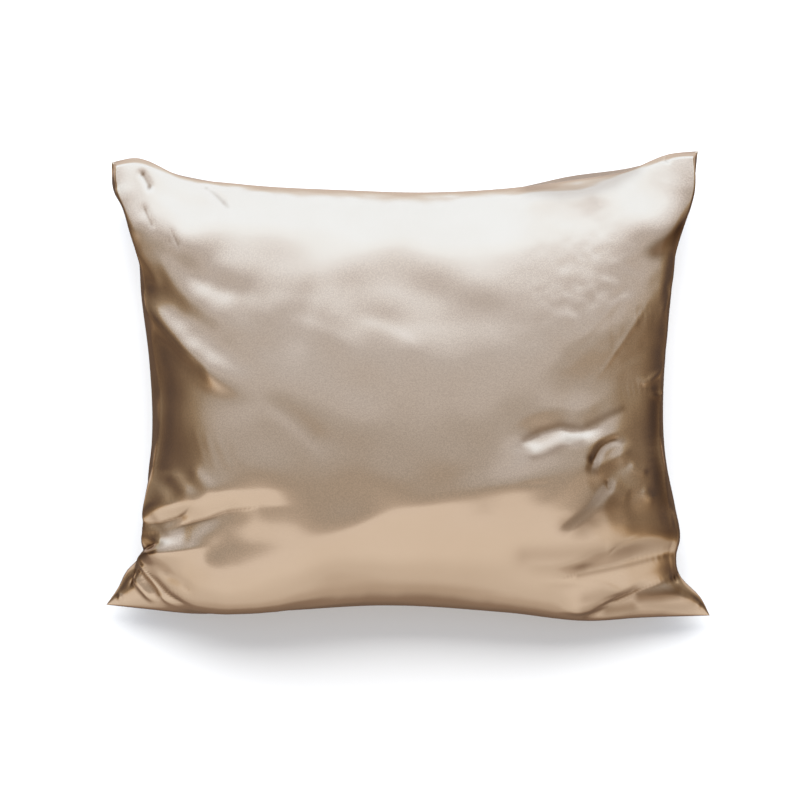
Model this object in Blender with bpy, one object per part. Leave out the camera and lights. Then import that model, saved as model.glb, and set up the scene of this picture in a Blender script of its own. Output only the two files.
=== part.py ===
"""A filled satin pillowcase of the 0.66 x 0.51 m size, lying on its back.

Two cloth panels are sewn together all round and turned right side out, so the
filled case is one soft body: a high crown on the front panel, a seam that draws
in between four ears, and a back panel that flattens where it rests.
Metres, +Z up. +X runs to the right of the face and +Y to its top edge.
"""

import math
from collections import namedtuple

import bmesh
import bpy
import numpy as np

# Driving sizes
CROWN = 0.104            # front panel's highest point above the seam
CROWN_DROP = 0.24        # how far below the middle the filling has settled, as a share
SIDE_ROUND = 0.58        # how full the panel is beside the left and right seams
END_ROUND = 0.62         # how full it is beside the top and bottom seams
SIDE_POWER = 2.3         # how flat the crown stays across the width
END_POWER = 2.2          # how flat the crown stays up the face
REST_SHARE = 0.52        # where the back panel reaches the surface it lies on
SEAM_THICKNESS = 0.001   # two layers of satin and their turned-in edges
SEAM_PUFF = 0.004        # how far the front panel stands out past the seam
PUFF_REACH = 0.45        # share of the panel's rise over which it stands out
EAR_SPAN = 9             # how close to a corner the ears begin
HEM_RISE = 0.25          # share of the rise over which the folds fade into the seam
GRID_ACROSS = 150        # cells across the width, before thinning
GRID_UP = 116            # cells up the face, before thinning
EDGE_CROWDING = 0.65     # how far the cells crowd towards the seam
KEPT_SHARE = 0.150       # share of the triangles that the thinning keeps

SATIN_COLOUR = (0.47, 0.36, 0.26, 1.0)

Corner = namedtuple("Corner", "x y height")
CORNERS = {
    "bottom_left": Corner(-0.330, -0.241, 0.030),
    "bottom_right": Corner(0.330, -0.253, 0.028),
    "top_left": Corner(-0.321, 0.240, 0.056),
    "top_right": Corner(0.313, 0.252, 0.058),
}

# Each edge, from left to right or from bottom to top. drawn_in is how far the
# outline lies inside the straight line between the two corners, height is the
# seam's, and puff is how far the back panel stands out past the seam.
EdgeRow = namedtuple("EdgeRow", "share drawn_in height puff")
EDGES = {
    "bottom": (
        EdgeRow(0.00, 0.000, 0.030, 0.000),
        EdgeRow(0.07, -0.005, 0.036, 0.002),
        EdgeRow(0.15, -0.007, 0.046, 0.004),
        EdgeRow(0.30, -0.001, 0.055, 0.006),
        EdgeRow(0.46, 0.007, 0.057, 0.006),
        EdgeRow(0.66, 0.001, 0.055, 0.006),
        EdgeRow(0.80, -0.005, 0.046, 0.004),
        EdgeRow(0.88, -0.001, 0.038, 0.002),
        EdgeRow(1.00, 0.000, 0.028, 0.000),
    ),
    "top": (
        EdgeRow(0.00, 0.000, 0.056, 0.000),
        EdgeRow(0.04, -0.004, 0.058, 0.000),
        EdgeRow(0.12, 0.010, 0.064, 0.007),
        EdgeRow(0.22, 0.022, 0.066, 0.005),
        EdgeRow(0.40, 0.030, 0.068, 0.006),
        EdgeRow(0.54, 0.034, 0.068, 0.006),
        EdgeRow(0.68, 0.030, 0.068, 0.007),
        EdgeRow(0.78, 0.017, 0.068, 0.013),
        EdgeRow(0.88, 0.011, 0.066, 0.009),
        EdgeRow(0.95, 0.003, 0.060, 0.000),
        EdgeRow(1.00, 0.000, 0.058, 0.000),
    ),
    "left": (
        EdgeRow(0.00, 0.000, 0.030, 0.000),
        EdgeRow(0.04, 0.010, 0.034, 0.000),
        EdgeRow(0.08, 0.017, 0.038, 0.001),
        EdgeRow(0.11, 0.032, 0.044, 0.002),
        EdgeRow(0.20, 0.035, 0.056, 0.004),
        EdgeRow(0.37, 0.045, 0.062, 0.005),
        EdgeRow(0.55, 0.041, 0.064, 0.005),
        EdgeRow(0.70, 0.032, 0.066, 0.004),
        EdgeRow(0.80, 0.028, 0.066, 0.003),
        EdgeRow(0.89, 0.015, 0.062, 0.001),
        EdgeRow(0.93, 0.003, 0.058, 0.001),
        EdgeRow(1.00, 0.000, 0.056, 0.000),
    ),
    "right": (
        EdgeRow(0.00, 0.000, 0.028, 0.000),
        EdgeRow(0.04, 0.010, 0.032, 0.000),
        EdgeRow(0.09, 0.031, 0.040, 0.002),
        EdgeRow(0.13, 0.034, 0.048, 0.003),
        EdgeRow(0.17, 0.030, 0.054, 0.003),
        EdgeRow(0.24, 0.034, 0.060, 0.004),
        EdgeRow(0.33, 0.041, 0.062, 0.005),
        EdgeRow(0.60, 0.037, 0.064, 0.005),
        EdgeRow(0.72, 0.031, 0.066, 0.004),
        EdgeRow(0.84, 0.019, 0.064, 0.003),
        EdgeRow(0.90, 0.009, 0.060, 0.000),
        EdgeRow(1.00, 0.000, 0.058, 0.000),
    ),
}

# The folds of the front panel, each along a path of (x, y) points. rise is the
# height of a ridge, or below zero the depth of a trough. The widths reach from
# the path to the left and to the right of its direction.
Fold = namedtuple("Fold", "name path rise width_left width_right")
FOLDS = (
    # right side, from the edge inwards
    Fold("lens_crease", ((0.122, -0.065), (0.131, -0.054), (0.145, -0.046), (0.168, -0.043),
                         (0.179, -0.046), (0.192, -0.041), (0.225, -0.024)), -0.006, 0.010, 0.005),
    Fold("lens_belly", ((0.130, -0.076), (0.157, -0.072), (0.190, -0.064),
                        (0.222, -0.046)), 0.005, 0.013, 0.014),
    Fold("hook_crease", ((0.188, -0.080), (0.197, -0.076), (0.201, -0.066), (0.210, -0.058),
                         (0.230, -0.058)), -0.006, 0.007, 0.004),
    Fold("hook_belly", ((0.200, -0.092), (0.210, -0.080), (0.228, -0.072)), 0.004, 0.008, 0.009),
    Fold("facet_crease", ((0.210, -0.104), (0.190, -0.119), (0.163, -0.140)), -0.006, 0.008, 0.010),
    Fold("facet_belly", ((0.232, -0.112), (0.210, -0.130), (0.190, -0.142)), 0.003, 0.010, 0.010),
    # lower right corner
    Fold("long_crease", ((0.184, -0.202), (0.223, -0.198), (0.273, -0.188), (0.290, -0.181)),
         -0.005, 0.014, 0.004),
    Fold("ear_fold", ((0.196, -0.249), (0.230, -0.234), (0.258, -0.221), (0.290, -0.211)),
         -0.008, 0.006, 0.009),
    Fold("low_dent", ((0.168, -0.229), (0.220, -0.228)), -0.004, 0.006, 0.007),
    # lower left corner
    Fold("hip_trough", ((-0.280, -0.134), (-0.256, -0.141), (-0.240, -0.145), (-0.214, -0.141),
                        (-0.170, -0.126)), -0.007, 0.011, 0.006),
    Fold("hip_ridge", ((-0.276, -0.153), (-0.252, -0.158), (-0.222, -0.160), (-0.170, -0.148),
                       (-0.113, -0.139)), 0.005, 0.009, 0.012),
    Fold("knot", ((-0.297, -0.185), (-0.285, -0.177), (-0.265, -0.169)), -0.012, 0.006, 0.006),
    Fold("fan_outer", ((-0.293, -0.187), (-0.281, -0.202), (-0.271, -0.216), (-0.257, -0.231),
                       (-0.237, -0.236)), -0.006, 0.005, 0.005),
    Fold("fan_inner", ((-0.289, -0.186), (-0.275, -0.198), (-0.262, -0.214),
                       (-0.238, -0.227)), -0.004, 0.006, 0.004),
    Fold("finger", ((-0.297, -0.190), (-0.300, -0.204), (-0.304, -0.221)), 0.004, 0.005, 0.004),
    # upper corners
    Fold("neck_right", ((0.298, 0.186), (0.286, 0.175), (0.271, 0.158), (0.250, 0.150)),
         -0.010, 0.008, 0.011),
    Fold("neck_left", ((-0.292, 0.192), (-0.276, 0.172), (-0.262, 0.146)), -0.005, 0.007, 0.009),
    Fold("dimple_left", ((-0.288, 0.229), (-0.281, 0.219), (-0.276, 0.206)), -0.003, 0.004, 0.004),
    # left side, fanning down from the upper ear
    Fold("fan_ridge", ((-0.262, 0.137), (-0.246, 0.118), (-0.216, 0.088)), 0.004, 0.010, 0.009),
    Fold("fan_valley", ((-0.263, 0.112), (-0.244, 0.088), (-0.219, 0.064), (-0.192, 0.048)),
         -0.005, 0.011, 0.010),
    Fold("shoulder_ridge", ((-0.272, 0.090), (-0.255, 0.073), (-0.232, 0.047),
                            (-0.206, 0.014)), 0.004, 0.009, 0.010),
    Fold("side_valley", ((-0.270, 0.066), (-0.256, 0.034), (-0.243, -0.004)), -0.004, 0.009, 0.009),
    Fold("low_ridge", ((-0.262, -0.054), (-0.232, -0.080), (-0.203, -0.111)), 0.004, 0.009, 0.010),
)


def smooth_curve(place, value, at):
    """A smooth curve through the values, read at each place asked for."""
    slope = np.gradient(value, place, axis=0)
    i = np.clip(np.searchsorted(place, at) - 1, 0, len(place) - 2)
    span = place[i + 1] - place[i]
    t = (at - place[i]) / span
    shape = t.shape + (1,) * (value.ndim - 1)
    t, span = t.reshape(shape), span.reshape(shape)
    start = (1 + 2 * t) * (1 - t) ** 2 * value[i] + t * (1 - t) ** 2 * span * slope[i]
    return start + t * t * (3 - 2 * t) * value[i + 1] + t * t * (t - 1) * span * slope[i + 1]


def edge_column(edge, name, at):
    rows = EDGES[edge]
    shares = np.array([row.share for row in rows])
    return smooth_curve(shares, np.array([getattr(row, name) for row in rows]), at)


def corner_blend(u, v, name):
    """A corner value carried straight across the face."""
    at = {key: getattr(corner, name) for key, corner in CORNERS.items()}
    low = at["bottom_left"] * (1 - u) / 2 + at["bottom_right"] * (1 + u) / 2
    high = at["top_left"] * (1 - u) / 2 + at["top_right"] * (1 + u) / 2
    return low * (1 - v) / 2 + high * (1 + v) / 2


def seam_sheet(u, v):
    """The sheet that spans the seam: its places, and how far the back stands past it."""
    x, y, z = (corner_blend(u, v, name) for name in ("x", "y", "height"))
    puff = np.zeros_like(x)
    sides = (
        ("bottom", (1 + u) / 2, (1 - v) / 2, (0, 1)),
        ("top", (1 + u) / 2, (1 + v) / 2, (0, -1)),
        ("left", (1 + v) / 2, (1 - u) / 2, (1, 0)),
        ("right", (1 + v) / 2, (1 + u) / 2, (-1, 0)),
    )
    for edge, along, nearness, inward in sides:
        out = edge_column(edge, "puff", along)
        move = (edge_column(edge, "drawn_in", along) + out) * nearness ** 2
        x += inward[0] * move
        y += inward[1] * move
        first, last = EDGES[edge][0].height, EDGES[edge][-1].height
        straight = first * (1 - along) + last * along
        z += (edge_column(edge, "height", along) - straight) * nearness ** 2
        puff = np.maximum(puff, out * nearness ** EAR_SPAN)
    return np.stack([x, y, z], axis=-1), puff


def fullness(u, v):
    """0 at the seam and 1 where the panel is fullest."""
    across = 1 - np.abs(u) ** SIDE_POWER
    settled = v + CROWN_DROP * (1 - v * v)
    up = 1 - np.abs(settled) ** END_POWER
    return across.clip(0) ** SIDE_ROUND * up.clip(0) ** END_ROUND


def stand_out(points, u, v, puff, rise):
    """Stands the panel out past the seam, most where it has risen a little."""
    t = np.clip(rise / PUFF_REACH, 0, 1)
    amount = puff * 4 * t * (1 - t)
    points[..., 0] += np.sign(u) * np.abs(u) ** EAR_SPAN * amount
    points[..., 1] += np.sign(v) * np.abs(v) ** EAR_SPAN * amount


def fold_lift(points, fold):
    """How far one fold lifts each point of the panel."""
    rows = np.array(fold.path)
    order = np.arange(len(rows), dtype=float)
    path = smooth_curve(order, rows, np.linspace(0, order[-1], 12 * len(rows)))
    reach = 3 * max(fold.width_left, fold.width_right)
    flat = points[..., :2].reshape(-1, 2)
    near = np.all((flat > path.min(0) - reach) & (flat < path.max(0) + reach), axis=1)
    starts, steps = path[:-1], np.diff(path, axis=0)
    offset = flat[near][:, None] - starts[None]
    t = np.clip((offset * steps).sum(-1) / (steps ** 2).sum(-1), 0, 1)
    away = offset - t[..., None] * steps
    distance = np.linalg.norm(away, axis=-1)
    nearest = distance.argmin(1)
    pick = np.arange(len(nearest))
    off = away[pick, nearest]
    side = steps[nearest, 0] * off[:, 1] - steps[nearest, 1] * off[:, 0]
    width = np.where(side > 0, fold.width_left, fold.width_right)
    along = (nearest + t[pick, nearest]) / len(steps)
    taper = np.sin(math.pi * (0.12 + 0.76 * along)) ** 0.8
    lift = np.zeros(len(flat))
    lift[near] = fold.rise * taper * np.exp(-(distance[pick, nearest] / width) ** 2)
    return lift.reshape(points.shape[:-1])


def facing(points):
    """The direction that each point of the front panel faces."""
    out = np.cross(np.gradient(points, axis=1), np.gradient(points, axis=0))
    return out / np.maximum(np.linalg.norm(out, axis=-1, keepdims=True), 1e-12)


def front_panel(u, v):
    points, puff = seam_sheet(u, v)
    rise = fullness(u, v)
    points[..., 2] += SEAM_THICKNESS / 2 + CROWN * rise
    stand_out(points, u, v, np.minimum(puff, SEAM_PUFF), rise)
    lift = sum(fold_lift(points, fold) for fold in FOLDS)
    clear = np.clip(rise / HEM_RISE, 0, 1)
    return points + facing(points) * (lift * clear * clear * (3 - 2 * clear))[..., None]


def back_panel(u, v):
    points, puff = seam_sheet(u, v)
    spread = (1 - np.abs(u) ** SIDE_POWER).clip(0) * (1 - np.abs(v) ** END_POWER).clip(0)
    reach = np.clip(spread / REST_SHARE, 0, 1)
    drop = (1 - (1 - reach) ** 2.4) ** SIDE_ROUND
    points[..., 2] = (points[..., 2] - SEAM_THICKNESS / 2) * (1 - drop)
    stand_out(points, u, v, puff, drop)
    return points


def centred(*panels):
    """The panels moved so that the middle of their own box is at X and Y zero."""
    low = np.min([p.reshape(-1, 3).min(0) for p in panels], axis=0)
    high = np.max([p.reshape(-1, 3).max(0) for p in panels], axis=0)
    middle = (low + high) / 2
    middle[2] = low[2]
    return [p - middle for p in panels]


def crowded(even):
    """Even places from -1 to 1 moved closer together towards both ends."""
    return (1 - EDGE_CROWDING) * even + EDGE_CROWDING * np.sin(even * math.pi / 2)


def panel_grid(mesh):
    """A flat grid of cells, with the share across and up that each of its points has."""
    made = bmesh.ops.create_grid(mesh, x_segments=GRID_ACROSS, y_segments=GRID_UP, size=1)
    share = np.array([point.co[:2] for point in made["verts"]])
    return made["verts"], crowded(share[:, 0]), crowded(share[:, 1])


def shaped(points, places):
    for point, place in zip(points, places.reshape(-1, 3)):
        point.co = place


def sewn_body(name):
    """Both panels shaped from flat grids, then sewn along their edges."""
    mesh = bmesh.new()
    front_points, u, v = panel_grid(mesh)
    back_points, u, v = panel_grid(mesh)
    square = (GRID_UP + 1, GRID_ACROSS + 1)
    u, v = u.reshape(square), v.reshape(square)
    front, back = centred(front_panel(u, v), back_panel(u, v))
    shaped(front_points, front)
    shaped(back_points, back)
    bmesh.ops.reverse_faces(mesh, faces=list({f for p in back_points for f in p.link_faces}))
    bmesh.ops.bridge_loops(mesh, edges=[edge for edge in mesh.edges if edge.is_boundary])
    data = bpy.data.meshes.new(name)
    mesh.to_mesh(data)
    mesh.free()
    data.shade_smooth()
    return bpy.data.objects.new(name, data)


def satin():
    material = bpy.data.materials.new("champagne_satin")
    material.use_nodes = True
    shader = material.node_tree.nodes["Principled BSDF"]
    shader.inputs["Base Color"].default_value = SATIN_COLOUR
    shader.inputs["Metallic"].default_value = 0.4
    shader.inputs["Roughness"].default_value = 0.38
    return material


def main():
    for obj in list(bpy.data.objects):
        bpy.data.objects.remove(obj, do_unlink=True)
    parts = bpy.data.collections.new("satin_pillowcase")
    bpy.context.scene.collection.children.link(parts)
    body = sewn_body("pillowcase")
    body.data.materials.append(satin())
    parts.objects.link(body)
    thinning = body.modifiers.new("thinning", "DECIMATE")
    thinning.ratio = KEPT_SHARE


main()
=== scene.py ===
import math
import bmesh
import bpy
import numpy as np
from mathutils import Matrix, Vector
from mathutils.bvhtree import BVHTree


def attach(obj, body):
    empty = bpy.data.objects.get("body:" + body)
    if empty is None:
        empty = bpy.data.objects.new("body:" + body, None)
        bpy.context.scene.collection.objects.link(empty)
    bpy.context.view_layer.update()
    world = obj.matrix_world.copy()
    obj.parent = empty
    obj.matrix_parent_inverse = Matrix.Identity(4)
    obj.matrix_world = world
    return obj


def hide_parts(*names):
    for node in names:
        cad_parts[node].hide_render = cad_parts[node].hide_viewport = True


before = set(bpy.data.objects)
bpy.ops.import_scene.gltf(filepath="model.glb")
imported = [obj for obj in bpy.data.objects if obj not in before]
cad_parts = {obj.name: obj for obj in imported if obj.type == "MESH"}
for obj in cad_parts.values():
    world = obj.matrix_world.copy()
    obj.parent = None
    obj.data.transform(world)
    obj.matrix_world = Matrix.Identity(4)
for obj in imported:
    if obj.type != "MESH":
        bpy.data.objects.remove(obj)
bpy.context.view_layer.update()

# The frame's solid of the case, which the photo's pixels are cast on
frameSolid = BVHTree.FromObject(bpy.data.objects["pillowcase"], bpy.context.evaluated_depsgraph_get())


# The filled pillowcase. Lengths are in metres, +X to the right of the face and +Y to its top edge.
pillowcase = {
    "crown": 0.104,            # front panel's highest point above the seam
    "crownDrop": 0.24,         # how far below the middle the filling has settled, as a share
    "sideRound": 0.58,         # how full the panel is beside the left and right seams
    "endRound": 0.62,          # and beside the top and bottom seams
    "sidePower": 2.3,          # how flat the crown stays across the width
    "endPower": 2.2,           # and up the face
    "restShare": 0.52,         # where the back panel reaches the surface it lies on
    "restRound": 2.4,          # and how roundly it meets it
    "seamThickness": 0.001,    # two layers of satin and their turned-in edges
    "frontPuff": 0.001,        # how far the front panel stands out past the seam
    "puffReach": 0.45,         # share of a panel's rise over which it stands out
    "earSpan": 9,              # how close to a corner the ears begin
    "hemWidth": 0.010,         # width over which the folds fade into the seam
    "cellsAcross": 360,        # of the front panel
    "cellsUp": 225,
    "cellsPerBackCell": 3,     # front cells beside one cell of the back panel, each way
    # How closely the cells crowd, at places from -1 to 1 across the width and up the face
    "across": [(-1, 3.4), (-0.75, 2.2), (-0.5, 1.8), (-0.25, 1), (0.2, 1), (0.35, 2.2), (0.8, 2.2), (1, 3.4)],
    "up": [(-1, 3.2), (-0.85, 2.4), (0.0, 2.2), (0.2, 1.1), (0.75, 1.1), (1, 3.2)],
    "openBend": 20,            # cloth that bends up to this, in radians a metre, has no painted shade of its own
    "tightBend": 150,          # and cloth that bends this much more is in full painted shade
    "billowWaves": 40,         # waves that are added up in each entry of billows
    "billowFall": 1.5,         # how fast the shorter of them get lower
    "puckerPitches": (0.6, 0.83, 1.0, 1.37, 1.9),  # waves of a pucker, as shares of its pitch
    "puckerEnd": 5,            # where puckers end, in reaches from the seam
    "flatWidth": 0.66,         # the case before it was filled
    "flatHeight": 0.51,
    "fill": 0.9,
}

corners = {  # x, y, height
    "bottomLeft": (-0.330, -0.241, 0.030),
    "bottomRight": (0.330, -0.253, 0.028),
    "topLeft": (-0.321, 0.240, 0.056),
    "topRight": (0.313, 0.252, 0.058),
}

# Along each edge, from left to right or from bottom to top: share of its length, how far it is drawn in, the
# seam's height, and how far the back panel puffs out past the seam
edges = {
    "bottom": [
        (0.00, 0.000, 0.030, 0.000), (0.07, -0.0055, 0.036, 0.002), (0.15, -0.0105, 0.046, 0.004),
        (0.22, -0.0092, 0.050, 0.005), (0.30, -0.0062, 0.055, 0.006), (0.46, 0.0013, 0.057, 0.006),
        (0.66, -0.0042, 0.055, 0.006), (0.80, -0.0105, 0.046, 0.004), (0.88, -0.005, 0.038, 0.002),
        (1.00, 0.000, 0.028, 0.000),
    ],
    "top": [
        (0.00, 0.000, 0.056, 0.000), (0.04, -0.004, 0.058, 0.000), (0.12, 0.010, 0.064, 0.007),
        (0.22, 0.022, 0.066, 0.005), (0.40, 0.030, 0.068, 0.006), (0.54, 0.034, 0.068, 0.006),
        (0.68, 0.030, 0.068, 0.007), (0.78, 0.017, 0.068, 0.013), (0.88, 0.011, 0.066, 0.009),
        (0.95, 0.003, 0.060, 0.000), (1.00, 0.000, 0.058, 0.000),
    ],
    "left": [
        (0.00, 0.000, 0.030, 0.000), (0.04, 0.013, 0.034, 0.000), (0.08, 0.022, 0.038, 0.001),
        (0.11, 0.035, 0.044, 0.002), (0.16, 0.043, 0.050, 0.003), (0.21, 0.0435, 0.057, 0.004),
        (0.29, 0.0415, 0.060, 0.005), (0.37, 0.045, 0.062, 0.005), (0.55, 0.041, 0.064, 0.005),
        (0.70, 0.032, 0.066, 0.004), (0.80, 0.028, 0.066, 0.003), (0.89, 0.015, 0.062, 0.001),
        (0.93, 0.003, 0.058, 0.001), (1.00, 0.000, 0.056, 0.000),
    ],
    "right": [
        (0.00, 0.000, 0.028, 0.000), (0.04, 0.010, 0.032, 0.000), (0.09, 0.031, 0.040, 0.002),
        (0.13, 0.034, 0.048, 0.003), (0.17, 0.030, 0.054, 0.003), (0.24, 0.034, 0.060, 0.004),
        (0.33, 0.041, 0.062, 0.005), (0.60, 0.037, 0.064, 0.005), (0.72, 0.031, 0.066, 0.004),
        (0.78, 0.028, 0.065, 0.004), (0.84, 0.019, 0.064, 0.003), (0.90, 0.009, 0.060, 0.000),
        (1.00, 0.000, 0.058, 0.000),
    ],
}

# The photo's view of the case, which the camera takes over. Lengths are in metres.
photo = {
    "pixels": 800,             # across the picture
    "width": 0.864,            # what the picture spans at the seam's height
    "seamHeight": 0.06,
    "aim": (-0.009, -0.0146),  # the place under the picture's middle
    "lens": 100.0,             # in mm, and the sensor too
    "sensor": 36.0,
}

# How every fold is drawn
drawing = {
    "stepsPerPoint": 8,     # straight steps of a path for each of its points
    "reach": 3,             # how far from its path a fold is worked out, in widths
    "taper": 0.3,           # share of the path over which it rises at each end
    "blend": 0.3,           # how far the path's steps blend, as a share of the distance from it
    "leastBlend": 0.0006,   # and at least, in metres
    "sharpFall": 1.4,       # how fast a sharp crest falls away
    "sharpRound": 0.02,     # how round it is on top
    "pleatRound": 0.007,    # how round a pleat is on top
    "pleatFoot": 0.03,      # and at its foot
}

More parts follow.
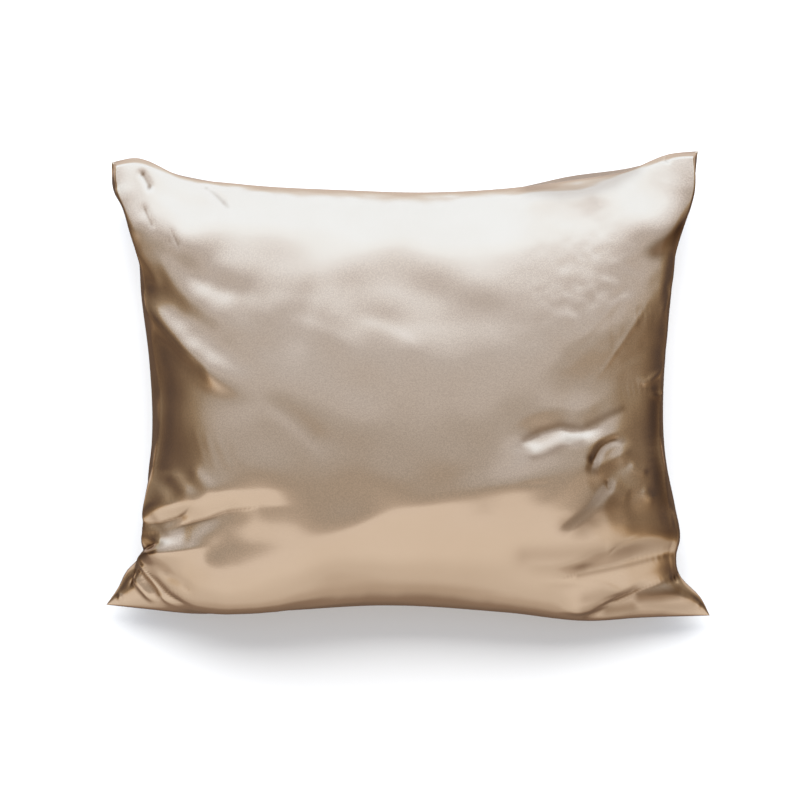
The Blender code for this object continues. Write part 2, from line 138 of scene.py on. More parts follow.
# Folds: name, rise in mm (below zero a trough), width in mm to the left and to the right of the path, crest,
# and the path, read off the photo in pixels. onTheCase turns it into mm.
# Not all of them are folds of the real case. Most of those named swell, dent, glow, ease, shine, patch or
# border only turn the cloth a little, so that it reflects the right part of the light tent. So do hip ridge,
# ear left, facet left and right hollow.
folds = [
    ("ear crease", -1.4, 5, 7, "pleat", [(145, 206), (152, 221), (160, 236)]),
    ("ear crinkle", -0.8, 3, 3, "sharp", [(171, 230), (178, 243), (182, 256)]),
    ("ear fold line", -0.7, 3, 3, "sharp", [(165, 248), (176, 244), (185, 251)]),
    ("ear dimple", -1.8, 4, 4, "round", [(140, 172), (147, 184), (154, 197)]),
    ("tip fold", -2.0, 3, 3, "round", [(109, 162), (114, 176)]),
    ("notch", -2.5, 3, 3, "sharp", [(113, 181), (121, 195)]),
    ("strip fold left", -1.4, 6, 5, "round", [(196, 184), (215, 196), (235, 216)]),
    ("neck left", 2.2, 14, 8, "round", [(118, 186), (136, 216), (150, 244)]),
    ("hollow left", -2.0, 14, 11, "round", [(148, 244), (172, 256), (193, 276), (222, 291), (262, 294)]),
    ("small ridge", 1.0, 6, 6, "round", [(141, 246), (152, 268), (162, 292)]),
    ("fan ridge", 1.4, 13, 10, "round", [(148, 251), (172, 281), (200, 306), (228, 326), (264, 338)]),
    ("shoulder ridge", 4.6, 18, 12, "round", [(128, 290), (152, 312), (174, 334), (196, 358), (224, 384),
        (262, 400)]),
    ("band dent", -2.8, 24, 30, "round", [(290, 296), (330, 292), (380, 291), (430, 300), (480, 314),
        (520, 316)]),
    ("shine low", 0.8, 9, 16, "round", [(352, 324), (390, 338), (428, 358)]),
    ("shine left", 0.7, 9, 14, "round", [(280, 318), (320, 334), (362, 354)]),
    ("middle hollow", -1.2, 14, 10, "round", [(255, 396), (285, 415), (310, 437), (330, 462)]),
    ("ripple one", 0.12, 4, 4, "round", [(193, 426), (205, 468)]),
    ("ripple two", 0.16, 4, 5, "round", [(205, 432), (218, 478)]),
    ("ripple three", 0.2, 4, 5, "round", [(216, 436), (231, 476)]),
    ("ripple four", 0.12, 5, 6, "round", [(230, 436), (244, 472)]),
    ("puff one", 0.6, 8, 7, "round", [(146, 478), (160, 490), (174, 504)]),
    ("puff two", 1.0, 8, 8, "round", [(166, 470), (180, 486), (196, 502)]),
    ("puff three", 0.8, 7, 8, "round", [(188, 468), (203, 484), (217, 497)]),
    ("hip trough", -6.2, 23, 44, "pleat", [(148, 538), (172, 531), (188, 527), (204, 523), (221, 517),
        (240, 513), (258, 510)]),
    ("hip lobe", -3.6, 13, 8, "pleat", [(141, 518), (158, 523), (170, 522), (183, 516), (196, 502)]),
    ("hip ridge", 9.0, 32, 56, "round", [(160, 592), (200, 590), (235, 588), (262, 581), (300, 562),
        (345, 542), (410, 522)]),
    ("band edge", 1.7, 16, 14, "round", [(300, 550), (340, 535), (380, 522), (430, 508), (490, 490),
        (540, 478), (600, 462)]),
    ("knot", -10.0, 13, 5, "sharp", [(134, 558), (150, 552), (168, 541)]),
    ("fan line", 2.2, 4, 4, "sharp", [(139, 555), (145, 567), (149, 575), (157, 589), (168, 602),
        (184, 609)]),
    ("fan trough", -3.0, 5, 5, "sharp", [(144, 560), (160, 586), (174, 598), (196, 606)]),
    ("fan soft", -1.2, 7, 5, "round", [(158, 570), (178, 580), (200, 592)]),
    ("fan lens", 3.0, 5, 4, "round", [(130, 574), (142, 590), (157, 606)]),
    ("fan dark", -2.4, 4, 4, "round", [(137, 562), (150, 584), (164, 602)]),
    ("finger", -2.0, 3, 3, "sharp", [(134, 560), (134, 576), (128, 592)]),
    ("tip crinkle", 1.8, 3, 3, "sharp", [(106, 600), (114, 592), (119, 597), (121, 609)]),
    ("low swell", 3.5, 26, 10, "round", [(150, 590), (180, 598), (220, 602), (280, 598), (345, 590)]),
    ("lens crease", -4.2, 22, 16, "pleat", [(504, 460), (521, 448), (534, 440), (547, 434), (561, 431),
        (576, 434), (596, 430), (611, 421), (638, 407)]),
    ("hook crease", -2.0, 7, 7, "pleat", [(590, 480), (592, 466), (597, 456), (603, 448), (613, 443),
        (622, 443), (634, 449)]),
    ("bump high", 0.8, 5, 5, "round", [(627, 467), (648, 477)]),
    ("bump middle", 1.0, 8, 8, "round", [(608, 486), (633, 501)]),
    ("bump right", 0.7, 5, 5, "round", [(641, 491), (656, 504)]),
    ("facet crease", -1.9, 30, 12, "pleat", [(545, 540), (566, 524), (587, 506), (600, 490), (614, 474)]),
    ("facet crinkle", -0.8, 3, 3, "sharp", [(606, 480), (612, 497)]),
    ("low shelf", 1.4, 8, 8, "round", [(520, 567), (560, 566), (604, 564)]),
    ("fine line", -0.3, 3, 3, "sharp", [(512, 486), (554, 486)]),
    ("long crease", -5.5, 22, 26, "pleat", [(548, 588), (582, 577), (612, 570), (640, 563), (700, 548)]),
    ("crest crease", -0.6, 3, 3, "sharp", [(607, 560), (620, 548), (642, 538)]),
    ("ear fold", -6.0, 12, 14, "pleat", [(574, 624), (598, 612), (618, 605), (631, 599), (646, 591),
        (686, 578)]),
    ("ear line", 0.8, 3, 3, "sharp", [(592, 610), (612, 603), (632, 594)]),
    ("low dent", 2.5, 8, 4, "round", [(556, 612), (590, 612), (620, 606)]),
    ("soft line", 0.8, 4, 5, "round", [(533, 585), (575, 586), (607, 590), (628, 600)]),
    ("right tip", 1.5, 3, 3, "sharp", [(694, 612), (703, 603), (709, 613)]),
    ("right knot", -2.0, 4, 3, "round", [(675, 551), (679, 568), (676, 588)]),
    ("side mark high", 0.8, 4, 4, "round", [(667, 258), (669, 272), (665, 288)]),
    ("side mark low", 0.7, 4, 4, "round", [(665, 290), (661, 306), (655, 322)]),
    ("curl high", 1.0, 4, 4, "round", [(664, 352), (660, 370), (652, 380), (645, 384), (635, 380)]),
    ("curl low", 0.8, 4, 4, "round", [(666, 387), (660, 398), (647, 396)]),
    ("thin crease", 0.6, 3, 3, "sharp", [(650, 296), (623, 342), (596, 385)]),
    ("thin crease two", 0.5, 3, 3, "sharp", [(633, 286), (600, 322), (569, 352)]),
    ("flap edge", 5.0, 12, 32, "round", [(730, 160), (708, 182), (692, 199), (677, 217), (656, 238),
        (640, 250), (610, 268)]),
    ("strip fold right", 2.5, 8, 16, "round", [(500, 200), (530, 198), (560, 197), (590, 194), (618, 186)]),
    ("flap dimple", -1.0, 4, 4, "round", [(649, 164), (671, 157)]),
    ("flap dimple two", -1.0, 3, 4, "round", [(664, 168), (668, 156)]),
    ("facet left", 7.0, 18, 4, "round", [(148, 498), (143, 520), (143, 535), (146, 555)]),
    ("ear left", 9, 40, 9, "round", [(84, 40), (90, 90), (98, 150), (110, 192), (122, 228), (134, 264),
        (142, 298)]),
    ("ear right border", 12, 5, 40, "round", [(730, 50), (716, 110), (708, 150), (700, 180), (690, 212),
        (680, 252)]),
    ("right hollow", -2.5, 24, 70, "round", [(652, 410), (657, 485), (665, 530), (676, 575), (684, 608)]),
    ("lens", 2.1, 14, 28, "pleat", [(496, 452), (520, 455), (534, 458), (548, 456), (562, 450), (576, 445),
        (596, 439), (618, 429)]),
    ("hook", 1.3, 8, 14, "pleat", [(586, 470), (598, 468), (610, 463), (622, 457), (634, 450)]),
    ("hip glow", 4.0, 8, 20, "round", [(140, 552), (176, 552), (218, 548)]),
    ("upper right swell", 4.5, 16, 40, "round", [(684, 196), (666, 232), (656, 270), (654, 310),
        (660, 352)]),
    ("patch right", 3.0, 40, 32, "round", [(540, 346), (600, 328), (655, 314)]),
    ("left swell low", 12, 70, 8, "round", [(146, 470), (142, 510), (144, 545), (146, 590)]),
    ("left shoulder swell", 6, 30, 34, "round", [(84, 222), (120, 228), (150, 238), (182, 254),
        (210, 266)]),
    ("band dent left", -2.2, 20, 60, "round", [(200, 296), (262, 298), (300, 299), (330, 303)]),
    ("patch foot", -3.0, 32, 40, "round", [(540, 412), (600, 400), (655, 386)]),
    ("band ease", -2.0, 20, 34, "round", [(330, 318), (360, 322), (392, 326), (440, 330), (490, 326)]),
    ("hip shine", 6.5, 12, 15, "round", [(138, 560), (170, 548), (190, 542), (228, 533)]),
    ("right border mid", 7, 5, 36, "round", [(696, 184), (684, 236), (677, 270), (674, 310), (671, 350),
        (667, 410)]),
    ("facet glow", 4.2, 30, 50, "round", [(480, 504), (520, 497), (560, 486), (590, 477), (620, 468)]),
    ("shoulder dent", -1.7, 16, 10, "round", [(126, 266), (152, 298), (178, 322), (202, 344), (230, 362),
        (266, 378)]),
    ("right border low", 3.5, 5, 32, "round", [(670, 350), (667, 400), (664, 440), (666, 480), (672, 530)]),
    ("flap glow", 2.6, 28, 24, "round", [(530, 280), (580, 271), (620, 264), (660, 256), (700, 248)]),
    ("hip trough end", -3.4, 18, 42, "pleat", [(148, 538), (172, 531), (188, 527), (204, 523), (221, 517),
        (240, 513), (262, 510), (286, 509), (308, 510)]),
]

# Brown that is painted where the real cloth lies over itself and keeps the light out, which this one surface
# can't do: name, share of full shade, reach in mm, path in pixels
shades = [
    ("ear fold foot", 0.9, 9, [(640, 599), (660, 598), (676, 594)]),
    ("ear lower edge", 0.7, 8, [(608, 612), (631, 609)]),
    ("hook foot", 0.7, 5, [(589, 470), (596, 474)]),
    ("knot", 0.8, 5, [(136, 558), (148, 554), (163, 545)]),
    ("facet", 0.55, 8, [(566, 528), (582, 516), (597, 501), (608, 487)]),
    ("facet wide", 0.5, 12, [(582, 529), (598, 517), (611, 504)]),
    ("lens upper edge", 0.55, 4.5, [(524, 442), (540, 432), (560, 427), (582, 431), (608, 418),
        (622, 411)]),
    ("lens lower edge", 0.45, 5, [(522, 451), (534, 458), (552, 453), (568, 444), (582, 444)]),
    ("hook tip", 0.75, 4, [(589, 460), (592, 466)]),
    ("hook edge", 0.50, 4, [(597, 469), (596, 457), (603, 449), (613, 444), (622, 444)]),
    ("flap wedge", 0.8, 9, [(654, 254), (662, 247), (670, 240), (677, 233)]),
    ("top right strip", 0.34, 9, [(530, 190), (560, 195), (590, 193), (612, 184), (632, 171)]),
    ("ear crease", 0.35, 7, [(584, 612), (612, 603), (640, 594)]),
    ("ear middle", 0.45, 8, [(650, 600), (668, 596), (684, 596)]),
    ("above the long crease", 0.45, 12, [(618, 552), (645, 548), (668, 542)]),
    ("soft band", 0.28, 11, [(524, 558), (560, 557), (600, 553)]),
    ("low dent", 0.35, 8, [(586, 600), (602, 596), (620, 597)]),
    ("ear lower", 0.30, 7, [(640, 604), (668, 608), (692, 608)]),
    ("long crease", 0.50, 3, [(578, 578), (605, 572), (630, 567), (655, 561), (676, 555)]),
    ("ear fold", 0.45, 3.5, [(584, 620), (600, 612), (620, 604), (640, 594), (660, 586), (678, 580)]),
    ("hip lobe", 0.40, 4, [(152, 516), (158, 526), (166, 536)]),
    ("right border", 0.42, 9, [(655, 396), (655, 422), (657, 450), (660, 480), (664, 502)]),
]

# Seeded waves that break up the smooth panel: place, reach, shortest and longest wave and height in mm, seed
billows = [
    (0, 0, 900, 45, 130, 0.55, 3),
    (205, 95, 70, 10, 26, 0.16, 5),
    (-205, 60, 60, 18, 40, 0.14, 8),
    (215, -100, 60, 18, 40, 0.16, 9),
]

# Puckers along the seams, but for the smooth left one: pitch in mm, height in mm, how far they reach into the
# panel in mm, seed
puckers = {
    "bottom": (22, 0.10, 10, 11),
    "top": (40, 0.4, 12, 12),
    "right": (24, 0.05, 9, 14),
}


def smoothCurve(place, value, at):  # a smooth curve through the values, read at each place asked for
    slope = np.gradient(value, place, axis=0)
    i = np.clip(np.searchsorted(place, at) - 1, 0, len(place) - 2)
    span = place[i + 1] - place[i]
    t = (at - place[i]) / span
    shape = t.shape + (1,) * (value.ndim - 1)
    t, span = t.reshape(shape), span.reshape(shape)
    start = (1 + 2 * t) * (1 - t) ** 2 * value[i] + t * (1 - t) ** 2 * span * slope[i]
    return start + t * t * (3 - 2 * t) * value[i + 1] + t * t * (t - 1) * span * slope[i + 1]


def edgeColumn(edge, column, at):
    rows = np.array(edges[edge])
    return smoothCurve(rows[:, 0], rows[:, column], at)


def cornerBlend(u, v, column):
    low = corners["bottomLeft"][column] * (1 - u) / 2 + corners["bottomRight"][column] * (1 + u) / 2
    high = corners["topLeft"][column] * (1 - u) / 2 + corners["topRight"][column] * (1 + u) / 2
    return low * (1 - v) / 2 + high * (1 + v) / 2


def seamSheet(u, v):  # the sheet that spans the seam, and how far the back stands past it
    x, y, z = (cornerBlend(u, v, column) for column in range(3))
    puff = np.zeros_like(x)
    for edge, along, nearness, inX, inY in [
        ("bottom", (1 + u) / 2, (1 - v) / 2, 0, 1),
        ("top", (1 + u) / 2, (1 + v) / 2, 0, -1),
        ("left", (1 + v) / 2, (1 - u) / 2, 1, 0),
        ("right", (1 + v) / 2, (1 + u) / 2, -1, 0),
    ]:
        out = edgeColumn(edge, 3, along)
        move = (edgeColumn(edge, 1, along) + out) * nearness ** 2
        x += inX * move
        y += inY * move
        straight = edges[edge][0][2] * (1 - along) + edges[edge][-1][2] * along
        z += (edgeColumn(edge, 2, along) - straight) * nearness ** 2
        puff = np.maximum(puff, out * nearness ** pillowcase["earSpan"])
    return np.stack([x, y, z], axis=-1), puff


def fullness(u, v):  # 0 at the seam and 1 where the panel is fullest
    across = 1 - np.abs(u) ** pillowcase["sidePower"]
    settled = v + pillowcase["crownDrop"] * (1 - v * v)
    up = 1 - np.abs(settled) ** pillowcase["endPower"]
    return across.clip(0) ** pillowcase["sideRound"] * up.clip(0) ** pillowcase["endRound"]


def standOut(points, u, v, puff, rise):  # moves a panel out past the seam where it rises from it
    t = np.clip(rise / pillowcase["puffReach"], 0, 1)
    amount = puff * 4 * t * (1 - t)
    points[..., 0] += np.sign(u) * np.abs(u) ** pillowcase["earSpan"] * amount
    points[..., 1] += np.sign(v) * np.abs(v) ** pillowcase["earSpan"] * amount


def cameraDistance():  # from the seam's height
    return photo["width"] * photo["lens"] / photo["sensor"]


def onTheCase(path):  # pixels of the photo as places on the frame's solid, in whole mm
    distance = cameraDistance()
    eye = Vector((*photo["aim"], photo["seamHeight"] + distance))
    step = photo["width"] / photo["pixels"]
    middle = photo["pixels"] / 2
    places = []
    for column, row in path:
        ray = Vector(((column - middle) * step, (middle - row) * step, -distance))
        place = frameSolid.ray_cast(eye, ray)[0]
        if place is None:  # beside the case, at the height of the solid's nearest place
            nearest = frameSolid.find_nearest(eye + ray)[0]
            place = eye + ray * ((eye.z - nearest.z) / distance)
        places.append((round(1000 * place.x), round(1000 * place.y)))
    return places


def foldLift(points, fold):  # how far a fold lifts each point
    rise, left, right, crest, path = fold[1:]
    rows = 0.001 * np.array(onTheCase(path))
    order = np.arange(len(rows), dtype=float)
    line = smoothCurve(order, rows, np.linspace(0, order[-1], drawing["stepsPerPoint"] * len(rows)))
    reach = 0.001 * drawing["reach"] * max(left, right)
    flat = points[..., :2].reshape(-1, 2)
    near = np.all((flat > line.min(0) - reach) & (flat < line.max(0) + reach), axis=1)
    starts, steps = line[:-1], np.diff(line, axis=0)
    offset = flat[near][:, None] - starts[None]
    t = np.clip((offset * steps).sum(-1) / (steps ** 2).sum(-1), 0, 1)
    away = offset - t[..., None] * steps
    distance = np.linalg.norm(away, axis=-1)
    closest = distance.min(1, keepdims=True)
    blend = drawing["blend"] * closest + drawing["leastBlend"]
    weight = np.exp(-(distance ** 2 - closest ** 2) / (2 * blend ** 2))
    weight /= weight.sum(1, keepdims=True)
    side = steps[:, 0] * away[..., 1] - steps[:, 1] * away[..., 0]
    side = (weight * side / (np.linalg.norm(steps, axis=1) * distance + 1e-9)).sum(1)
    width = 0.001 * (right + (left - right) * (0.5 + 0.5 * side))
    ratio = closest[:, 0] / width
    along = (weight * (np.arange(len(steps)) + t)).sum(1) / len(steps)
    end = np.clip(np.minimum(along, 1 - along) / drawing["taper"], 0, 1)
    if crest == "round":
        shape = np.exp(-ratio ** 2)
    elif crest == "sharp":
        shape = np.exp(-drawing["sharpFall"] * np.sqrt(ratio ** 2 + drawing["sharpRound"]))
    else:  # a pleat has straight flanks
        slope = 1 - np.sqrt(ratio ** 2 + drawing["pleatRound"])
        shape = (slope + np.sqrt(slope ** 2 + drawing["pleatFoot"])) / 2
    lift = np.zeros(len(flat))
    lift[near] = 0.001 * rise * end * end * (3 - 2 * end) * shape
    return lift.reshape(points.shape[:-1])


def billowLift(points, billow):  # how far seeded waves around a place lift each point
    x, y, reach, shortest, longest, height, seed = billow
    draw = np.random.default_rng(seed)
    count = pillowcase["billowWaves"]
    length = shortest * (longest / shortest) ** draw.random(count)
    turn, phase = draw.random((2, count)) * 2 * math.pi
    size = (length / longest) ** pillowcase["billowFall"]
    acrossMm, upMm = 1000 * points[..., 0], 1000 * points[..., 1]
    lift = sum(s * np.sin(2 * math.pi * (acrossMm * math.cos(a) + upMm * math.sin(a)) / wave + b)
               for s, wave, a, b in zip(size, length, turn, phase))
    away = np.hypot(acrossMm - x, upMm - y) / reach
    return 0.001 * height * np.exp(-away ** 2) * lift / math.sqrt((size ** 2).sum() / 2)


def puckerLift(edge, along, inward):  # along and inward from the seam in metres
    pitch, height, reach, seed = puckers[edge]
    draw = np.random.default_rng(seed)
    lift = 0
    for share in pillowcase["puckerPitches"]:
        slant, phase = draw.uniform(-0.5, 0.5), draw.uniform(0, 2 * math.pi)
        lift = lift + np.sin(2 * math.pi * (along + slant * inward) / (0.001 * pitch * share) + phase) * share
    t = inward / (0.001 * reach)
    return 0.001 * height * lift / 2 * t * np.exp(1 - t) * np.clip(1 - t / pillowcase["puckerEnd"], 0, 1)


def seamDistance(u, v):  # roughly how far each place is from the four seams, in metres
    halfWidth, halfHeight = pillowcase["flatWidth"] / 2, pillowcase["flatHeight"] / 2
    return {"bottom": (1 + v) * halfHeight, "top": (1 - v) * halfHeight,
            "left": (1 + u) * halfWidth, "right": (1 - u) * halfWidth}


def facing(points):  # which way the cloth faces at each point of the grid
    out = np.cross(np.gradient(points, axis=1), np.gradient(points, axis=0))
    return out / np.maximum(np.linalg.norm(out, axis=-1, keepdims=True), 1e-12)


def frontPanel(u, v):
    points, puff = seamSheet(u, v)
    rise = fullness(u, v)
    points[..., 2] += pillowcase["seamThickness"] / 2 + pillowcase["crown"] * rise
    standOut(points, u, v, np.minimum(puff, pillowcase["frontPuff"]), rise)
    lift = sum(foldLift(points, fold) for fold in folds)
    lift += sum(billowLift(points, billow) for billow in billows)
    away = seamDistance(u, v)
    nearest = np.minimum.reduce(list(away.values()))
    for edge, along in [("bottom", away["left"]), ("top", away["left"]), ("right", away["bottom"])]:
        lift += puckerLift(edge, along, away[edge])
    clear = np.clip(nearest / pillowcase["hemWidth"], 0, 1)
    return points + facing(points) * (lift * clear * clear * (3 - 2 * clear))[..., None]


def shadeAt(points, shade):  # how much of a painted shade reaches each point
    share, reach, path = shade[1:]
    rows = 0.001 * np.array(onTheCase(path))
    flat, away = points[..., :2], np.inf
    for start, step in zip(rows[:-1], np.diff(rows, axis=0)):
        t = np.clip(((flat - start) @ step) / (step @ step), 0, 1)
        away = np.minimum(away, np.linalg.norm(flat - start - t[..., None] * step, axis=-1))
    return share * np.exp(-(away / (0.001 * reach)) ** 2)


def paintedShadeShare(points):  # painted shade: 0 on open cloth, towards 1 in the bottom of a tight fold and along the shades
    normal, bend = facing(points), 0
    for axis in (0, 1):
        step = np.gradient(points, axis=axis)
        bend = bend - (np.gradient(normal, axis=axis) * step).sum(-1) / (step ** 2).sum(-1).clip(1e-12)
    dark = np.clip((bend - pillowcase["openBend"]) / pillowcase["tightBend"], 0, 1)
    return np.maximum.reduce([dark] + [shadeAt(points, shade) for shade in shades])


def backPanel(u, v):
    points, puff = seamSheet(u, v)
    across = (1 - np.abs(u) ** pillowcase["sidePower"]).clip(0)
    up = (1 - np.abs(v) ** pillowcase["endPower"]).clip(0)
    reach = np.clip(across * up / pillowcase["restShare"], 0, 1)
    drop = (1 - (1 - reach) ** pillowcase["restRound"]) ** pillowcase["sideRound"]
    points[..., 2] = (points[..., 2] - pillowcase["seamThickness"] / 2) * (1 - drop)
    standOut(points, u, v, puff, drop)
    return points


def crowded(cells, crowding):  # places from -1 to 1, closer together where the folds and the seams are
    readings = 2001
    fine = np.linspace(-1, 1, readings)
    share = np.cumsum(np.interp(fine, *np.array(crowding).T))
    return np.interp(np.linspace(share[0], share[-1], cells + 1), share, fine)


def roundTheSeam(rows, columns):  # grid places along the seam, once round anticlockwise
    places = [(0, i) for i in range(columns - 1)] + [(j, columns - 1) for j in range(rows - 1)]
    places += [(rows - 1, i) for i in range(columns - 1, 0, -1)] + [(j, 0) for j in range(rows - 1, 0, -1)]
    return places


def makePillowcase():  # the front and back panel as one closed mesh
    each = pillowcase["cellsPerBackCell"]
    u, v = np.meshgrid(crowded(pillowcase["cellsAcross"], pillowcase["across"]),
                       crowded(pillowcase["cellsUp"], pillowcase["up"]))
    front = frontPanel(u, v)
    backU, backV = u[::each, ::each], v[::each, ::each]
    back = backPanel(backU, backV)
    both = np.concatenate([front.reshape(-1, 3), back.reshape(-1, 3)])
    middle = (both.min(0) + both.max(0)) / 2
    middle[2] = both[:, 2].min()
    mesh = bmesh.new()
    flatPlace = mesh.loops.layers.uv.new("flatCut")
    grids, places = [], {}
    for panel, panelU, panelV in [(front, u, v), (back, backU, backV)]:
        grid = [[mesh.verts.new(place) for place in row] for row in panel - middle]
        for j, row in enumerate(grid):
            for i, point in enumerate(row):
                places[point] = ((panelU[j, i] + 1) / 2 * pillowcase["flatWidth"],
                                 (panelV[j, i] + 1) / 2 * pillowcase["flatHeight"])
        for j in range(len(grid) - 1):
            for i in range(len(grid[0]) - 1):
                cell = [grid[j][i], grid[j][i + 1], grid[j + 1][i + 1], grid[j + 1][i]]
                mesh.faces.new(cell if panel is front else cell[::-1])
        grids.append(grid)
    frontSeam = roundTheSeam(*front.shape[:2])
    backSeam = roundTheSeam(*back.shape[:2])
    for k, (j, i) in enumerate(backSeam):  # along the seam, several front cells meet one back cell
        nextJ, nextI = backSeam[(k + 1) % len(backSeam)]
        upper = [grids[0][a][b] for a, b in (frontSeam + frontSeam[:1])[each * k:each * k + each + 1]]
        mesh.faces.new([grids[1][j][i], grids[1][nextJ][nextI]] + upper[::-1])
    for face in mesh.faces:
        face.smooth = True
        for loop in face.loops:
            loop[flatPlace].uv = places[loop.vert]
    data = bpy.data.meshes.new("pillowcase")
    mesh.to_mesh(data)
    # The crease attribute is painted shade of the front panel, in tight folds and along the shades; the back
    # panel has none
    crease = data.attributes.new("crease", "FLOAT", "POINT")
    crease.data.foreach_set("value", np.concatenate([paintedShadeShare(front).ravel(), np.zeros(back[..., 0].size)]))
    mesh.free()
    case = bpy.data.objects.new("filled_case", data)
    bpy.context.scene.collection.objects.link(case)
    return case


def fromHex(code):  # an sRGB hex colour as linear values
    parts = [int(code[k:k + 2], 16) / 255 for k in (1, 3, 5)]
    return tuple(c / 12.92 if c <= 0.04045 else ((c + 0.055) / 1.055) ** 2.4 for c in parts) + (1.0,)


colourA, colourB, colourOut = 6, 7, 2  # a Mix node's sockets for colours


def addNode(tree, kind, settings=(), links=()):
    node = tree.nodes.new(kind)
    for name, value in dict(settings).items():
        if name in node.inputs:
            node.inputs[name].default_value = value
        else:
            setattr(node, name, value)
    for name, source in dict(links).items():
        tree.links.new(source, node.inputs[name])
    return node


def fillRamp(ramp, stops):  # each stop is a place from 0 to 1 and a colour
    while len(ramp.elements) > 1:
        ramp.elements.remove(ramp.elements[-1])
    ramp.interpolation = "EASE"
    for k, (place, colour) in enumerate(stops):
        element = ramp.elements[0] if k == 0 else ramp.elements.new(place)
        element.position = place
        element.color = colour


# Satin woven polyester: long smooth floats in line, so broad soft mirror-like sheen over a champagne body
satin = {
    "colour": "#dcc2a5",
    "shadowColour": "#d6bb9d",
    "paintedShadeColour": "#8a6a4c",  # painted shade for tight folds and the shades' paths: light caught deep in a fold takes the cloth's colour twice
    "metallic": 0.88,
    "roughness": 0.13,
    "roughnessSpread": 0.03,      # how far it varies with the grain, up and down
    "ior": 1.55,
    "mottleMm": 71.4,             # size of the soft patches of slightly darker cloth
    "mottleDetail": 3,
    "grainMm": 1.5,               # satin threads are 0.1 mm; drawn coarser so that the grain shows
    "grainDetail": 2,
    "threadDips": (0.36, 0.64),   # the part of the grain that makes the dips between the threads
    "threadShade": 0.86,          # how dark the painted shade in the dips is
    "threadBump": 0.12,
    "threadHeight": 0.0003,
    # How much the painted shade of the threads shows, by how far the cloth turns up or down the face
    "threadsShow": [(-0.50, 0.1), (-0.22, 0.2), (-0.10, 1.0), (0.26, 1.0), (0.42, 0.1)],
}


def satinWovenPolyester():
    material = bpy.data.materials.new("satin woven polyester")
    material.use_nodes = True
    tree = material.node_tree
    shader = tree.nodes["Principled BSDF"]
    shader.inputs["Metallic"].default_value = satin["metallic"]
    shader.inputs["IOR"].default_value = satin["ior"]
    place = addNode(tree, "ShaderNodeTexCoord").outputs["Object"]
    normal = addNode(tree, "ShaderNodeTexCoord").outputs["Normal"]
    mottle = addNode(tree, "ShaderNodeTexNoise", {"Scale": 1000 / satin["mottleMm"],
                                                  "Detail": satin["mottleDetail"]}, {"Vector": place})
    body = addNode(tree, "ShaderNodeMix", {"data_type": "RGBA"}, {"Factor": mottle.outputs["Fac"]})
    body.inputs[colourA].default_value = fromHex(satin["colour"])
    body.inputs[colourB].default_value = fromHex(satin["shadowColour"])
    grain = addNode(tree, "ShaderNodeTexNoise", {"Scale": 1000 / satin["grainMm"],
                                                 "Detail": satin["grainDetail"]}, {"Vector": place})
    # Painted shade of the grain: the dips between the threads darken the colour fully where the cloth lies
    # flat, and faintly where it turns up or down, where the sheen would hide them
    turn = addNode(tree, "ShaderNodeSeparateXYZ", (), {"Vector": normal})
    upOrDown = addNode(tree, "ShaderNodeMapRange", {"From Min": -1, "From Max": 1},
                       {"Value": turn.outputs["Y"]})
    flatness = addNode(tree, "ShaderNodeValToRGB", (), {"Fac": upOrDown.outputs[0]})
    fillRamp(flatness.color_ramp, [((turned + 1) / 2, (share, share, share, 1))
                                   for turned, share in satin["threadsShow"]])
    lowest, highest = satin["threadDips"]
    dips = addNode(tree, "ShaderNodeMapRange", {"From Min": lowest, "From Max": highest},
                   {"Value": grain.outputs["Fac"]})
    grainShadeShare = addNode(tree, "ShaderNodeMath", {"operation": "MULTIPLY"})
    tree.links.new(dips.outputs[0], grainShadeShare.inputs[0])
    tree.links.new(flatness.outputs["Color"], grainShadeShare.inputs[1])
    woven = addNode(tree, "ShaderNodeMix", {"data_type": "RGBA", "blend_type": "MULTIPLY"},
                    {"Factor": grainShadeShare.outputs[0]})
    tree.links.new(body.outputs[colourOut], woven.inputs[colourA])
    woven.inputs[colourB].default_value = (*[satin["threadShade"]] * 3, 1)
    # Painted shade: the crease attribute darkens the colour towards dark brown in tight folds and along the
    # shades
    paintedShadeAmount = addNode(tree, "ShaderNodeAttribute", {"attribute_name": "crease"})
    shadedColour = addNode(tree, "ShaderNodeMix", {"data_type": "RGBA"}, {"Factor": paintedShadeAmount.outputs["Fac"]})
    shadedColour.inputs[colourB].default_value = fromHex(satin["paintedShadeColour"])
    tree.links.new(woven.outputs[colourOut], shadedColour.inputs[colourA])
    tree.links.new(shadedColour.outputs[colourOut], shader.inputs["Base Color"])
    rough = addNode(tree, "ShaderNodeMapRange", {"To Min": satin["roughness"] - satin["roughnessSpread"],
                                                 "To Max": satin["roughness"] + satin["roughnessSpread"]},
                    {"Value": grain.outputs["Fac"]})
    tree.links.new(rough.outputs[0], shader.inputs["Roughness"])
    bump = addNode(tree, "ShaderNodeBump", {"Strength": satin["threadBump"],
                                            "Distance": satin["threadHeight"]},
                   {"Height": grain.outputs["Fac"]})
    tree.links.new(bump.outputs[0], shader.inputs["Normal"])
    return material


case = makePillowcase()
case.data.materials.append(satinWovenPolyester())
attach(case, "root")
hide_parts("pillowcase")
print("filled case made:", len(case.data.polygons), "faces")


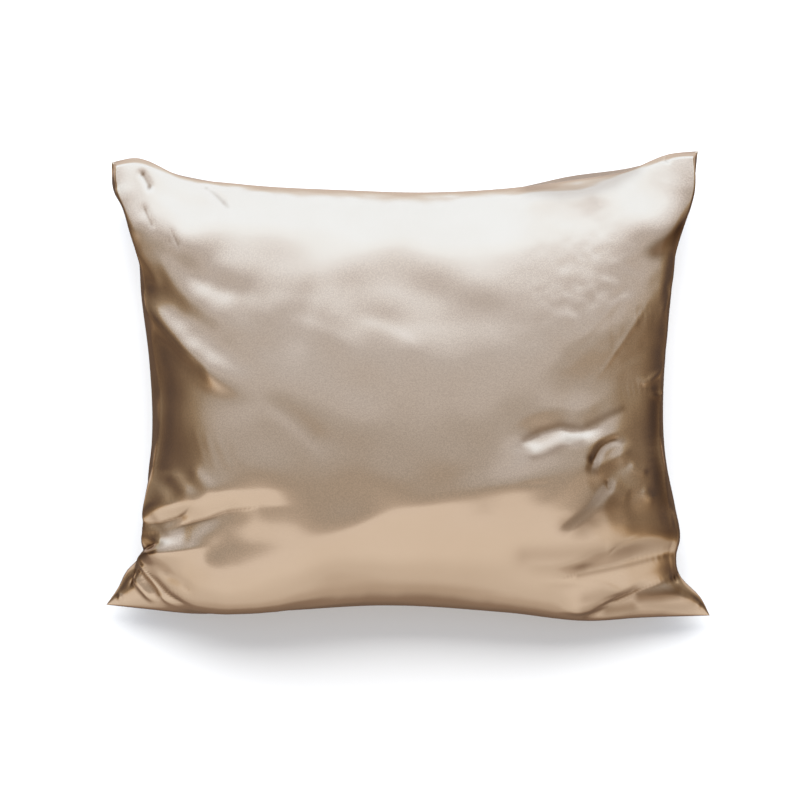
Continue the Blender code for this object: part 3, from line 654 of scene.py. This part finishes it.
studio = {
    "floorSize": 16,           # its far edge is out of sight in low views
    "floorColour": "#cecdca",
    "floorRoughness": 0.9,
    "floorGlow": 0.165,        # the paper is lit a little from below
    # The background light shines on the floor alone, and casts the shadow on it
    "lightPlace": (0, 1.2, 1.6),
    "lightSize": (3.6, 1.15),
    "lightColour": "#ffffff",
    "lightPower": 100,
    # The light tent is the world all round. It is read from the front (-90) over the top (0) to the back
    # (90): degrees, then red, green and blue, and how much of the fall to its dark sides it shows there
    "tent": [
        (-176, 0.13, 0.085, 0.06, 1.0), (-150, 0.17, 0.12, 0.09, 1.0), (-122, 0.30, 0.23, 0.19, 1.0),
        (-106, 0.60, 0.55, 0.52, 1.1), (-92, 0.80, 0.79, 0.80, 1.5), (-62, 0.94, 0.95, 0.99, 1.6),
        (-34, 0.94, 0.95, 1.00, 1.5), (-23, 0.60, 0.57, 0.56, 1.0), (-12, 0.50, 0.48, 0.47, 1.0),
        (0, 0.57, 0.60, 0.67, 0.95), (13, 0.70, 0.76, 0.90, 0.85), (24, 0.71, 0.79, 0.965, 0.75),
        (31, 0.85, 0.97, 1.22, 0.7), (38, 1.02, 1.21, 1.56, 0.65), (46, 1.15, 1.42, 1.90, 0.65),
        (56, 1.30, 1.70, 2.36, 0.65), (64, 1.32, 1.76, 2.50, 0.7), (88, 1.32, 1.76, 2.50, 0.8),
        (104, 1.05, 1.20, 1.44, 1.3), (118, 0.90, 0.93, 1.02, 2.0), (146, 0.80, 0.75, 0.74, 2.0),
        (165, 0.72, 0.62, 0.55, 1.6), (175, 0.13, 0.085, 0.06, 1.0),
    ],
    # From its left side (-1) to its right (1): how bright it is, and the most that it shows there, as a share
    # of tentStrength
    "tentSides": [
        (-1.0, 0.17, 0.16), (-0.985, 0.31, 0.17), (-0.94, 0.52, 0.19), (-0.90, 0.64, 0.27),
        (-0.86, 0.87, 0.9), (-0.79, 0.98, 1.0), (-0.60, 1.0, 1.0), (-0.45, 1.0, 1.0),
        (0.50, 1.0, 1.0), (0.66, 0.99, 1.0), (0.80, 0.94, 1.0),
        (0.90, 0.60, 0.24), (0.96, 0.42, 0.19), (0.985, 0.27, 0.17), (1.0, 0.12, 0.16),
    ],
    "tentTint": {"Green": 1.46, "Blue": 2.22},  # powers of the red: the darker its sides, the browner
    "tentEnds": 0.5,           # how far its ends are rounded off
    "tentEndPower": 6,         # and how close to the ends that begins
    "tentStrength": 2.5,       # of the world's background, which the tent's colours are divided by
}


def areaLight(name, place, target, width, height, power, colour):
    data = bpy.data.lights.new(name, "AREA")
    data.shape = "RECTANGLE"
    data.size, data.size_y = width, height
    data.energy = power
    data.color = fromHex(colour)[:3]
    light = bpy.data.objects.new(name, data)
    light.location = place
    light.rotation_euler = (Vector(target) - Vector(place)).to_track_quat("-Z", "Y").to_euler()
    bpy.context.scene.collection.objects.link(light)
    return light


def lightTent():  # soft walls of light all round, painted on the world by direction
    world = bpy.data.worlds.new("light tent")
    world.use_nodes = True
    tree = world.node_tree
    direction = addNode(tree, "ShaderNodeTexCoord").outputs["Generated"]
    axes = addNode(tree, "ShaderNodeSeparateXYZ", (), {"Vector": direction})
    outward = addNode(tree, "ShaderNodeMath", {"operation": "POWER"})
    tree.links.new(axes.outputs["X"], outward.inputs[0])
    outward.inputs[1].default_value = studio["tentEndPower"]
    height = addNode(tree, "ShaderNodeMath", {"operation": "MULTIPLY_ADD"})
    tree.links.new(outward.outputs[0], height.inputs[0])
    height.inputs[1].default_value = studio["tentEnds"]
    tree.links.new(axes.outputs["Z"], height.inputs[2])
    turn = addNode(tree, "ShaderNodeMath", {"operation": "ARCTAN2"})
    tree.links.new(axes.outputs["Y"], turn.inputs[0])
    tree.links.new(height.outputs[0], turn.inputs[1])
    share = addNode(tree, "ShaderNodeMapRange", {"From Min": -math.pi, "From Max": math.pi},
                    {"Value": turn.outputs[0]})
    over = addNode(tree, "ShaderNodeValToRGB", (), {"Fac": share.outputs[0]})
    dim = 1 / studio["tentStrength"]
    fillRamp(over.color_ramp, [((angle + 180) / 360, (dim * red, dim * green, dim * blue, fall))
                               for angle, red, green, blue, fall in studio["tent"]])
    sideways = addNode(tree, "ShaderNodeMapRange", {"From Min": -1, "From Max": 1},
                       {"Value": axes.outputs["X"]})
    across = addNode(tree, "ShaderNodeValToRGB", (), {"Fac": sideways.outputs[0]})
    fillRamp(across.color_ramp, [((place + 1) / 2, (level, level, level, most))
                                 for place, level, most in studio["tentSides"]])
    fallen = addNode(tree, "ShaderNodeMath", {"operation": "POWER"})
    tree.links.new(across.outputs["Color"], fallen.inputs[0])
    tree.links.new(over.outputs["Alpha"], fallen.inputs[1])
    tint = addNode(tree, "ShaderNodeCombineColor", (), {"Red": fallen.outputs[0]})
    for name, power in studio["tentTint"].items():
        channel = addNode(tree, "ShaderNodeMath", {"operation": "POWER"})
        tree.links.new(fallen.outputs[0], channel.inputs[0])
        channel.inputs[1].default_value = power
        tree.links.new(channel.outputs[0], tint.inputs[name])
    kept = addNode(tree, "ShaderNodeMix", {"data_type": "RGBA", "blend_type": "DARKEN", "Factor": 1.0})
    tree.links.new(over.outputs["Color"], kept.inputs[colourA])
    tree.links.new(across.outputs["Alpha"], kept.inputs[colourB])
    both = addNode(tree, "ShaderNodeMix", {"data_type": "RGBA", "blend_type": "MULTIPLY", "Factor": 1.0})
    tree.links.new(kept.outputs[colourOut], both.inputs[colourA])
    tree.links.new(tint.outputs["Color"], both.inputs[colourB])
    back = tree.nodes["Background"]
    back.inputs["Strength"].default_value = studio["tentStrength"]
    tree.links.new(both.outputs[colourOut], back.inputs["Color"])
    bpy.context.scene.world = world


def makeStudio():  # floor, lights and camera
    bpy.ops.mesh.primitive_plane_add(size=studio["floorSize"])
    floor = bpy.context.object
    floor.name = "floor"
    paper = bpy.data.materials.new("matt white paper")  # an even pale grey with no shine
    paper.use_nodes = True
    shader = paper.node_tree.nodes["Principled BSDF"]
    shader.inputs["Base Color"].default_value = fromHex(studio["floorColour"])
    shader.inputs["Roughness"].default_value = studio["floorRoughness"]
    shader.inputs["Emission Color"].default_value = (1, 1, 1, 1)
    shader.inputs["Emission Strength"].default_value = studio["floorGlow"]
    floor.data.materials.append(paper)
    floor.visible_glossy = floor.visible_diffuse = False  # the satin shows the tent alone
    lightTent()
    lamp = areaLight("background light", studio["lightPlace"], (0, 0, 0), *studio["lightSize"],
                     studio["lightPower"], studio["lightColour"])
    lit = bpy.data.collections.new("lit by the background light")
    lit.objects.link(floor)
    lamp.light_linking.receiver_collection = lit
    camera = bpy.data.objects.new("camera", bpy.data.cameras.new("camera"))
    camera.data.lens, camera.data.sensor_width = photo["lens"], photo["sensor"]
    camera.location = (*photo["aim"], photo["seamHeight"] + cameraDistance())
    bpy.context.scene.collection.objects.link(camera)
    bpy.context.scene.camera = camera
    bpy.context.scene.view_settings.view_transform = "Standard"


makeStudio()
print("studio made")
